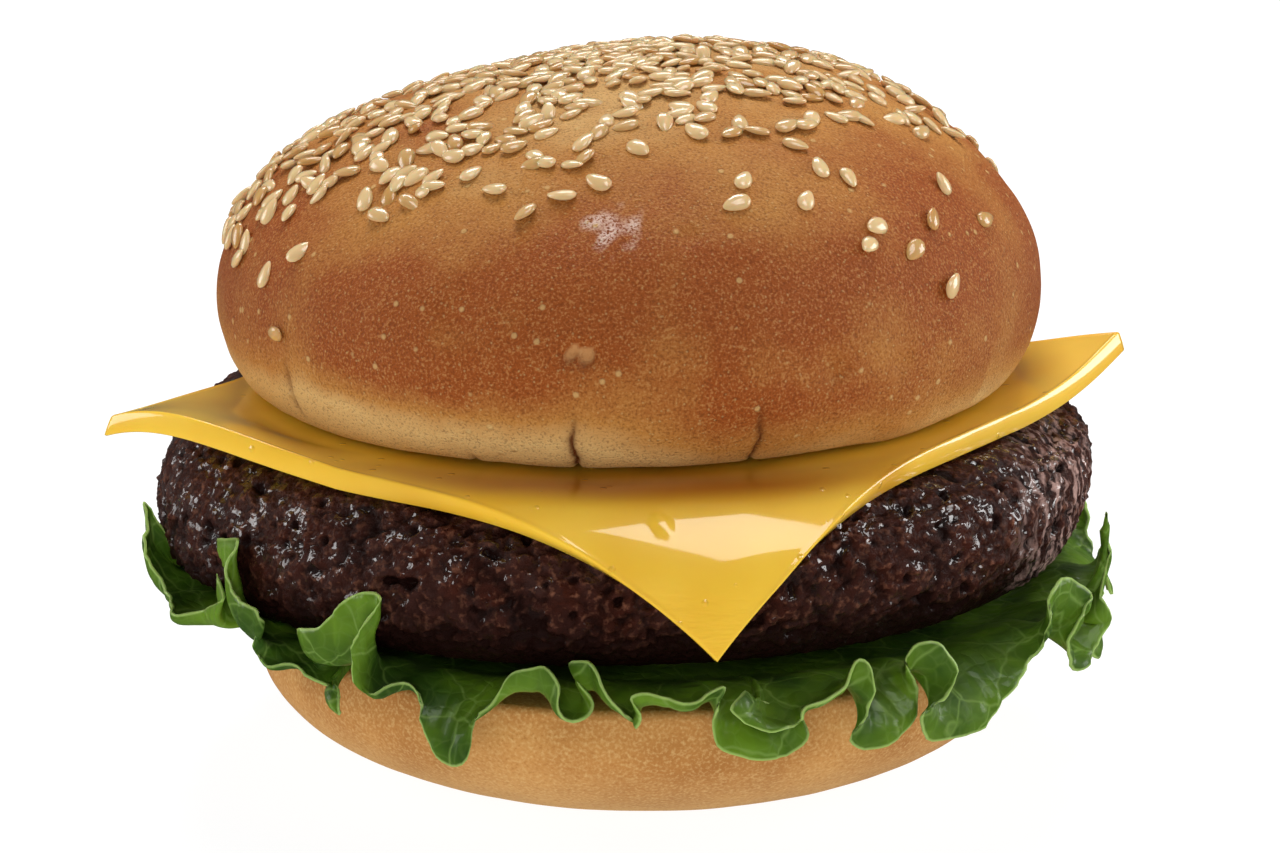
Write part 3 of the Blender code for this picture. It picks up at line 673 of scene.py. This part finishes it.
def cheddar():
    """Processed cheddar, pressed and chilled, then warmed: waxy and a little see through,
    with an oily face that takes a clear shine, broken by specks and, low on the front
    corner, by scuffs. In front, next to the bread, painted shade from the crown darkens it."""
    made, add = finish("processed_cheddar", Roughness=0.4, Specular_IOR_Level=0.2,
                       Subsurface_Weight=0.15, Subsurface_Scale=1.5 * MM,
                       Subsurface_Radius=(1.0, 0.5, 0.12),
                       Coat_Weight=1.0, Coat_Roughness=0.07)
    place = add("TexCoord", output="Object")
    cloud = add("TexNoise", {"Vector": place, "Scale": 1 / (16 * MM), "Detail": 2})
    deep = add("MapRange", {0: cloud, 1: 0.35, 2: 0.7})
    level = add("VectorMath", {0: place, 1: (1, 1, 0)}, operation="MULTIPLY")
    away = add("VectorMath", {0: level}, output="Value", operation="LENGTH")
    # Painted shade: a strip in front next to the crown's rim, shaded by the crown, is darker and
    # more orange
    near = add("MapRange", {0: away, 1: 55.5 * MM, 2: 50.5 * MM, 4: 0.85},
               interpolation_type="SMOOTHSTEP")
    y, z = (add("SeparateXYZ", {0: place}, output=axis) for axis in "YZ")
    ahead = add("MapRange", {0: y, 1: -38 * MM, 2: -49 * MM})
    crown_shade = add("Math", {0: near, 1: ahead}, operation="MULTIPLY")
    colour = linear(CHEDDAR)
    for share, tint in ((deep, CHEDDAR_DEEP), (crown_shade, CHEDDAR_SHADE)):
        colour = add("Mix", {0: share, 6: colour, 7: linear(tint)}, output=2, data_type="RGBA")
    specks = add("TexVoronoi", {"Vector": place, "Scale": 1 / (3.5 * MM)})
    speck = add("MapRange", {0: specks, 1: 0.13, 2: 0.05})
    streaks = add("Mapping", {"Vector": place, "Rotation": (0, 0.5, 0),
                              "Scale": [1 / (d * MM) for d in (3.5, 3.5, 0.7)]})
    scuffs = add("TexNoise", {"Vector": streaks, "Scale": 1.0, "Detail": 2})
    scuffed = add("MapRange", {0: z, 1: 38 * MM, 2: 33 * MM, 4: 0.9})
    scuff = add("Math", {0: scuffs, 1: scuffed}, operation="MULTIPLY")
    relief = add("Math", {0: speck, 1: scuff})
    bump = add("Bump", {"Strength": 0.8, "Distance": 0.2 * MM, "Height": relief})
    return feed(made, Base_Color=colour, Normal=bump, Coat_Normal=bump)


cheese_points, cheese_parts = cheese_slab(CHEESE_CELLS, CHEESE_EDGE_STEPS)
cheese = add_piece("cheese_slice_sheet", cheese_points, cheese_parts, cheddar())
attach(cheese, "root")
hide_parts("cheese_slice")


# Bun crown
# The domed upper half of the bun: soft bread under a thin baked skin, brushed before it was
# baked, so the skin browned and shines softly. It lies cut face down on the cheese.
CROWN_CENTRE = (-1.6 * MM, 0)
CROWN_RADIUS = 49.7 * MM
CROWN_CUT_RADIUS = 44.6 * MM
CROWN_CUT = 46.3 * MM
CROWN_WIDEST = 56.8 * MM
CROWN_DOME = 27.6 * MM
CROWN_ROUNDING = 2.1
CROWN_CURL = 7 * MM
CROWN_LOPSIDED = 1.2 * MM
# Dimples and a torn blister: azimuth in degrees, lift, radius in mm and depth in mm
CROWN_DIMPLES = (
    (262.5, 0.09, 1.0, 1.3), (264.5, 0.085, 0.9, 1.2), (298, 0.01, 1.3, 0.6),
    (309, -0.01, 1.3, 0.45), (246, 0.2, 2.5, 0.25), (279, 0.36, 1.2, 0.25),
)
# Creases that run down the side: azimuth in degrees, lowest and highest lift, depth in mm
CROWN_CREASES = (
    (262.5, -1.2, -0.3, 0.6), (288, -1.2, -0.25, 0.5), (216, -0.7, -0.1, 0.35),
    (247, -1.2, -0.8, 0.3),
)
CROWN_CREASE_WIDTH = 0.32 * MM
# How brown the skin is, 0 pale and 1 brown, at lifts from the cut edge to the top
CROWN_BROWNED = (
    (-1, -0.35), (-0.6, 0.2), (-0.2, 0.85), (0.2, 1), (0.35, 0.9), (0.55, 0.6), (0.8, 0.4),
    (1, 0.25),
)
# Patches below the widest line: azimuth and width in degrees, and how much browner
CROWN_PATCHES = ((228, 32, -0.55), (305, 30, 0.4))
# Where the glaze gathered it shines, and a painted highlight is mixed into the colour
CROWN_SHINE = (267, 0.41)   # azimuth in degrees and lift of the place where the glaze gathered
CROWN_COLUMNS = 600         # points round each ring
CROWN_ROWS = 150            # rings from the cut edge to the top
CRUST_BROWN = "#944a1a"
CRUST_GOLD = "#b57b3a"
CRUST_PALE = "#d6b072"
CRUST_GRAIN = "#c59256"
CRUST_DARK = "#5c2c10"
CRUMB = "#c08c58"
# Pale pink of the painted highlight where the glaze shines
GLAZE_HIGHLIGHT = "#ead2c2"


def crown_skin(azimuth, lift):
    """Points of the crown's skin. lift runs from -1 at the cut edge through 0 at the widest
    line to 1 at the top. Below, the side curls in along an arc; above, the dome is a
    superellipse, a little fuller on the right."""
    inset = CROWN_RADIUS - CROWN_CURL
    most = math.acos((CROWN_CUT_RADIUS - inset) / CROWN_CURL)
    below, above = np.minimum(lift, 0), np.clip(lift, 0, 1)
    t = above * np.pi / 2
    arc_r = inset + CROWN_CURL * np.cos(most * below)
    arc_z = CROWN_WIDEST + (CROWN_WIDEST - CROWN_CUT) * np.sin(most * below) / math.sin(most)
    dome_r = CROWN_RADIUS * np.maximum(np.cos(t), 0) ** (2 / CROWN_ROUNDING)
    dome_z = CROWN_WIDEST + CROWN_DOME * np.sin(t) ** (2 / CROWN_ROUNDING)
    fuller = np.sin(np.pi * dome_r * np.cos(azimuth) / (44 * MM)) * np.minimum(1, 3 * above)
    radius = np.where(lift < 0, arc_r, dome_r)
    z = np.where(lift < 0, arc_z, dome_z + CROWN_LOPSIDED * fuller)
    around = np.stack(np.broadcast_arrays(np.cos(azimuth), np.sin(azimuth), lift), -1)
    swell = 1 - 0.004 * (1 + soft_noise(around, 0.7, 21))
    x, y = radius * swell * np.cos(azimuth), radius * swell * np.sin(azimuth)
    return np.stack([CROWN_CENTRE[0] + x, CROWN_CENTRE[1] + y, z + LEAN * x], -1)


def crown_grid(columns, rows):
    """Rings of the skin from the cut edge to the top, after rings of the level cut face."""
    azimuth = front_dense(columns, 0.55)[None, :]
    low = np.linspace(-1, 0, rows // 3, endpoint=False)
    high = np.linspace(0, 0.985, rows - rows // 3)
    lift = np.concatenate([low, high])[:, None]
    skin = crown_skin(azimuth, lift + 0 * azimuth)
    share = np.linspace(0.05, 0.97, 12)[:, None, None]
    middle = np.array([*CROWN_CENTRE, CROWN_CUT])
    cut = middle + (skin[:1] - middle) * share
    lift = np.concatenate([np.full(12, -1.0), lift[:, 0]])
    return np.concatenate([cut, skin]), azimuth + 0 * lift[:, None], lift[:, None] + 0 * azimuth


def crown_marks(azimuth, lift, grid):
    """How deep dimples and creases go, in metres: a dimple is a round soft pit with a
    ragged wall, and a crease is a narrow groove that wanders down the side and fades."""
    depth = np.zeros(lift.shape)
    cracks = np.zeros(lift.shape)
    ragged = 0.35 * soft_noise(grid, 1.4 * MM, 61)
    for turn, rise, radius, deep in CROWN_DIMPLES:
        centre = crown_skin(np.array(math.radians(turn)), np.array(float(rise)))
        away = np.linalg.norm(grid - centre, axis=-1) / (radius * MM)
        depth += deep * MM / (1 + np.maximum(away + ragged, 0) ** 4) * (away < 3)
    wander = 0.5 * MM * soft_noise(grid, 3.5 * MM, 62) + 0.2 * MM * soft_noise(grid, 1.2 * MM, 67)
    for turn, low, high, deep in CROWN_CREASES:
        across = np.sin(azimuth - math.radians(turn)) * CROWN_RADIUS + wander
        ahead = np.cos(azimuth - math.radians(turn)) > 0
        middle, half = (low + high) / 2, (high - low) / 2
        along = np.exp(-((lift - middle) / half) ** 4)
        groove = deep * MM * along * ahead / (1 + (across / CROWN_CREASE_WIDTH) ** 2)
        cracks = np.maximum(cracks, groove)
    return depth, cracks


def low_patch(azimuth, lift, centre, width):
    """A bell-shaped patch below the widest line, about an azimuth in degrees: 0 to 1."""
    bell = np.exp(-((azimuth - math.radians(centre)) / math.radians(width)) ** 2)
    return bell * np.clip(0.1 - 2.5 * lift, 0, 1)


def baked_crust():
    """The baked skin of a soft bun: reddish brown round the middle, golden near the top and
    pale at the cut edge. It is matt and sandy, and shines only where the glaze gathered, where
    a painted highlight is also mixed into its colour. Painted shade darkens its creases. Its
    grains are drawn 0.3 mm wide, coarser than real ones, so that they show; sparser pale
    specks are bubbles in the dough."""
    made, add = finish("baked_glazed_crust", Roughness=0.55, Specular_IOR_Level=0.12,
                       Coat_Roughness=0.2)
    place = add("TexCoord", output="Object")
    baked, torn, gloss_and_highlight, crease_shade = (add("Attribute", output="Fac", attribute_name=name)
                                    for name in ("baked", "torn", "gloss_and_highlight", "crease_shade"))
    cloud = add("TexNoise", {"Vector": place, "Scale": 1 / (7 * MM), "Detail": 4})
    grain = add("TexNoise", {"Vector": place, "Scale": 1 / (0.32 * MM), "Detail": 2,
                             "Roughness": 0.6})
    centred = add("Math", {0: cloud, 1: 0.5}, operation="SUBTRACT")
    shifted = add("Math", {0: centred, 1: 0.6, 2: baked}, operation="MULTIPLY_ADD")
    golden = add("MapRange", {0: shifted, 2: 0.5})
    brown = add("MapRange", {0: shifted, 1: 0.5})
    pale = add("MapRange", {0: grain, 1: 0.52, 2: 0.68, 4: 0.5})
    dark = add("MapRange", {0: grain, 1: 0.47, 2: 0.34, 4: 0.45})
    dots, sand = (add("TexVoronoi", {"Vector": place, "Scale": 1 / size})
                  for size in (3.2 * MM, 0.9 * MM))
    dot = add("MapRange", {0: dots, 1: 0.14, 2: 0.08, 4: 0.6})
    bright = add("MapRange", {0: sand, 1: 0.2, 2: 0.1, 4: 0.4})
    specks = add("Math", {0: dot, 1: bright}, operation="MAXIMUM")
    speckled = add("MapRange", {0: grain, 1: 0.38, 2: 0.52})
    glaze = add("Math", {0: gloss_and_highlight, 1: speckled}, operation="MULTIPLY")
    # Painted highlight: half of the glaze's share mixes a pale pink glint into the colour
    thin = add("Math", {0: glaze, 1: 0.5}, operation="MULTIPLY")
    colour = linear(CRUST_PALE)
    for share, tint in ((golden, CRUST_GOLD), (brown, CRUST_BROWN), (pale, CRUST_GRAIN),
                        (dark, CRUST_DARK), (specks, CRUST_PALE), (torn, CRUMB),
                        (crease_shade, CRUST_DARK), (thin, GLAZE_HIGHLIGHT)):
        colour = add("Mix", {0: share, 6: colour, 7: linear(tint)}, output=2, data_type="RGBA")
    risen = add("Math", {0: specks, 1: grain})
    bump = add("Bump", {"Strength": 0.9, "Distance": 0.3 * MM, "Height": risen})
    return feed(made, Base_Color=colour, Coat_Weight=glaze, Normal=bump, Coat_Normal=bump)


crown_rings, crown_turn, crown_lift = crown_grid(CROWN_COLUMNS, CROWN_ROWS)
crown_pit, crown_cracks = crown_marks(crown_turn, crown_lift, crown_rings)
crown_soft = 0.22 * MM * (1 + soft_noise(crown_rings, 10 * MM, 63))
crown_soft = crown_soft + 0.07 * MM * (1 + soft_noise(crown_rings, 3.5 * MM, 64))
crown_sunk = grid_normals(crown_rings) * (crown_pit + crown_cracks + crown_soft)[..., None]
crown_points, crown_parts = closed_turn(crown_rings - crown_sunk)
crown_baked = np.interp(crown_lift, *zip(*CROWN_BROWNED))
crown_baked = crown_baked + 0.3 * soft_noise(crown_rings, 16 * MM, 65)
for patch_turn, patch_width, browner in CROWN_PATCHES:
    patch = low_patch(crown_turn, crown_lift, patch_turn, patch_width)
    crown_baked = crown_baked + browner * patch
crown_torn = np.clip((crown_pit - 0.6 * MM) / (0.3 * MM), 0, 1)
crown_shine = crown_skin(np.array(math.radians(CROWN_SHINE[0])), np.array(CROWN_SHINE[1]))
crown_shine = np.linalg.norm(crown_rings - crown_shine, axis=-1) / (3 * MM)
crown_gloss_and_highlight = np.clip(1.2 - crown_shine + 0.9 * soft_noise(crown_rings, 2 * MM, 66), 0, 1)
crown_values = {
    "baked": np.append(crown_baked.ravel(), [0, 0.5]),
    "torn": np.append(crown_torn.ravel(), [1, 0]),
    "gloss_and_highlight": np.append(crown_gloss_and_highlight.ravel(), [0, 0]),
    # painted shade in the creases
    "crease_shade": np.append(np.clip(crown_cracks / (0.5 * MM), 0, 1).ravel(), [0, 0]),
}
crown = add_piece("bun_crown_crust", crown_points, crown_parts, baked_crust(), crown_values)
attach(crown, "root")
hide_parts("bun_crown")


# Sesame seeds
# Hulled sesame scattered on the wet glaze before baking, so the seeds stuck where they fell
# and toasted lightly. They crowd and overlap on top, and a few strays lie down the front.
SEED_LENGTH = 3.4 * MM
SEED_WIDTH = 2.2 * MM
SEED_HEIGHT = 1.0 * MM
SEED_COUNT = 700
SEED_SPACING = 1.45 * MM
SEED_RANDOM = 17
SEED_TIP = 0.16             # how far the seeds tip from the skin, as a slope
# Centre of the crowded cap from the crown's, and its half widths
SEED_CAP = (-8 * MM, 9 * MM, 42 * MM, 36 * MM)
# Strays seen down the front: azimuth in degrees and lift
SEED_STRAYS = (
    (264, 0.53), (252, 0.45), (244, 0.51), (229, 0.45), (225, 0.40), (231, 0.50), (291, 0.49),
    (288, 0.43), (300, 0.41), (307, 0.49), (311, 0.45), (310, 0.32), (307, 0.28), (315, 0.25),
    (322, 0.31), (331, 0.38), (336, 0.27), (320, 0.15), (214, 0.25), (214, 0.03), (193, 0.20),
    (272, 0.62), (260, 0.60),
)
SEED_SIDES = 8              # points round a seed
SEED_SECTIONS = 7           # rings along a seed
SEED_CREAM = "#dfc08c"
SEED_TOASTED = "#bf9050"


def seed_places():
    """Azimuth and lift of each seed: the strays first, then darts thrown at the dome, kept
    inside the cap, whose border is blurred, and where no seed is nearer than the spacing."""
    draw = np.random.default_rng(SEED_RANDOM)
    places = [(math.radians(turn), lift) for turn, lift in SEED_STRAYS]
    centres = list(crown_skin(*np.array(places).T))
    x, y, across, back = SEED_CAP
    while len(places) < SEED_COUNT:
        turn = draw.uniform(0, 2 * math.pi)
        lift = 1 - draw.random() ** 0.75 * 0.85
        centre = crown_skin(np.array(turn), np.array(lift))
        dx, dy = centre[0] - CROWN_CENTRE[0] - x, centre[1] - CROWN_CENTRE[1] - y
        off = math.hypot(dx / across, dy / back)
        if off > 1 + 0.12 * draw.normal():
            continue
        if np.min(np.linalg.norm(np.array(centres) - centre, axis=-1)) > SEED_SPACING:
            places.append((turn, lift))
            centres.append(centre)
    return np.array(places)


def seed_form(sides, sections):
    """A teardrop of unit length along X: its half width and half height are a circle's,
    narrowed to one end."""
    t = (1 - np.cos(np.linspace(0, np.pi, sections + 2)[1:-1])) / 2
    width = np.sqrt(t * (1 - t)) * (0.72 + 0.5 * t)
    turn = 2 * np.pi * np.arange(sides) / sides
    across = np.outer(width, np.cos(turn))
    rise = np.outer(width, np.sin(turn))
    ring = np.stack([(t - 0.5)[:, None] + 0 * across, across, rise], -1)
    points, parts = closed_turn(ring)
    points[-2:] = ((-0.5, 0, 0), (0.5, 0, 0))
    return points, parts


def seed_mesh():
    """Every seed in its place: the form scaled, turned about the skin's normal, tipped a
    little and set on the skin. Also a number from 0 to 1 for each, its toasting."""
    draw = np.random.default_rng(SEED_RANDOM + 1)
    places = seed_places()
    turn, lift = places.T
    centre = crown_skin(turn, lift)
    along = crown_skin(turn + 0.01, lift) - crown_skin(turn - 0.01, lift)
    up = crown_skin(turn, np.minimum(lift + 0.01, 0.999)) - crown_skin(turn, lift - 0.01)
    count = len(places)
    normal = unit(unit(np.cross(along, up)) + SEED_TIP * draw.normal(size=(count, 3)))
    length = draw.normal(size=(count, 3))
    length = unit(length - normal * (length * normal).sum(-1, keepdims=True))
    side = np.cross(normal, length)
    size = draw.uniform(0.88, 1.08, size=(count, 1, 1))
    form, parts = seed_form(SEED_SIDES, SEED_SECTIONS)
    form = form * (SEED_LENGTH, SEED_WIDTH, SEED_HEIGHT)
    basis = np.stack([length, side, normal], 1)
    points = size * np.einsum("pk,nkc->npc", form, basis)
    height = SEED_HEIGHT * draw.uniform(-0.12, 0.22, size=(count, 1, 1))
    points = points + centre[:, None] + normal[:, None] * height
    shift = np.arange(count)[:, None, None] * len(form)
    toasted = np.repeat(draw.random(count) ** 3, len(form))
    parts = [(shift + part).reshape(-1, part.shape[1]) for part in parts]
    return points.reshape(-1, 3), parts, toasted


def sesame():
    """Hulled sesame, lightly toasted: ivory to straw, smooth and oily, so each seed carries
    one sharp streak of light."""
    made, add = finish("toasted_sesame", Roughness=0.4, Specular_IOR_Level=0.2,
                       Subsurface_Weight=0.25, Subsurface_Scale=0.6 * MM,
                       Coat_Weight=1.0, Coat_Roughness=0.09)
    place = add("TexCoord", output="Object")
    toasted = add("Attribute", output="Fac", attribute_name="toasted")
    cloud = add("TexNoise", {"Vector": place, "Scale": 1 / (1.5 * MM), "Detail": 2})
    mixed = add("Math", {0: cloud, 1: 0.5, 2: toasted}, operation="MULTIPLY_ADD")
    tone = add("MapRange", {0: mixed, 1: 0.2, 2: 1.2})
    base = add("Mix", {0: tone, 6: linear(SEED_CREAM), 7: linear(SEED_TOASTED)},
               output=2, data_type="RGBA")
    return feed(made, Base_Color=base)


seed_points, seed_parts, seed_toasted = seed_mesh()
seeds = add_piece("sesame_seeds", seed_points, seed_parts, sesame(), {"toasted": seed_toasted})
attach(seeds, "root")
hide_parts("bun_crown")


# Floor, light and camera
# A plain pale sheet under soft lights, as in a product studio. It stays out of reflections,
# so that the wet meat keeps its darks. Some lights only shade and some only shine.
FLOOR_WHITE = "#ffffff"
FLOOR_GREY = "#6c6c6c"
CAMERA_AIM = (-0.4 * MM, 0.0, 39.4 * MM)
CAMERA_AWAY = 0.7
CAMERA_RISE = 15            # degrees above level
CAMERA_LENS = 163.4         # mm, before a sensor 36 mm wide
FLOOR_SIDE = 6
WORLD_GLOW = 0.08


def white_floor():
    """Matt paper that glows evenly, so that it stays white to the edges under soft light and
    takes only a faint shadow."""
    return finish("white_paper", Roughness=0.9, Specular_IOR_Level=0.1, Emission_Strength=0.93,
                  Base_Color=linear(FLOOR_GREY), Emission_Color=linear(FLOOR_WHITE))[0]


bpy.ops.mesh.primitive_plane_add(size=FLOOR_SIDE)
floor = bpy.context.object
floor.name = "paper_floor"
floor.data.materials.append(white_floor())
floor.visible_glossy = False

scene = bpy.context.scene
world = bpy.data.worlds.new("studio")
scene.world = world
world.use_nodes = True
backdrop = world.node_tree.nodes["Background"]
backdrop.inputs["Color"].default_value = (1, 1, 1, 1)
backdrop.inputs["Strength"].default_value = WORLD_GLOW


def softbox(name, place, aim, size, power, on_matt=True, on_gloss=True):
    """An oblong light at a place, turned to an aim, with its power in watts. It may reach
    matt surfaces only, or show in shiny ones only, as through a polarising sheet."""
    light = bpy.data.lights.new(name, "AREA")
    light.shape = "RECTANGLE"
    light.size, light.size_y = size
    light.energy = power
    lamp = bpy.data.objects.new(name, light)
    scene.collection.objects.link(lamp)
    lamp.location = place
    away = Vector(aim) - Vector(place)
    lamp.rotation_euler = away.to_track_quat("-Z", "Y").to_euler()
    lamp.visible_diffuse = on_matt
    lamp.visible_glossy = on_gloss


softbox("key_softbox", (0.02, 0.36, 0.8), (0.02, 0.25, 0.04), (0.5, 0.42), 7.5, on_gloss=False)
softbox("sheen_softbox", (0.24, -0.27, 0.8), (0, 0, 0.04), (0.4, 0.68), 4.8, on_matt=False)
softbox("back_softbox", (-0.05, 0.66, 0.86), (0, 0, 0.06), (0.6, 0.24), 4.5, on_matt=False)
softbox("fill_softbox", (-0.1, -1.3, 0.34), (0, 0, 0.04), (0.7, 0.7), 8.5, on_gloss=False)
softbox("left_softbox", (-0.7, 0.15, 0.25), (0, 0, 0.05), (0.4, 0.4), 2.3)
softbox("right_softbox", (0.7, 0.15, 0.25), (0, 0, 0.05), (0.4, 0.4), 3.4)

lens = bpy.data.cameras.new("studio_camera")
lens.sensor_width = 36
lens.lens = CAMERA_LENS
lens.clip_end = 20
camera = bpy.data.objects.new("studio_camera", lens)
scene.collection.objects.link(camera)
rise = math.radians(CAMERA_RISE)
camera_height = CAMERA_AIM[2] + CAMERA_AWAY * math.sin(rise)
camera.location = (CAMERA_AIM[0], -CAMERA_AWAY * math.cos(rise), camera_height)
camera.rotation_euler = (math.pi / 2 - rise, 0, 0)
scene.camera = camera
scene.view_settings.view_transform = "Standard"
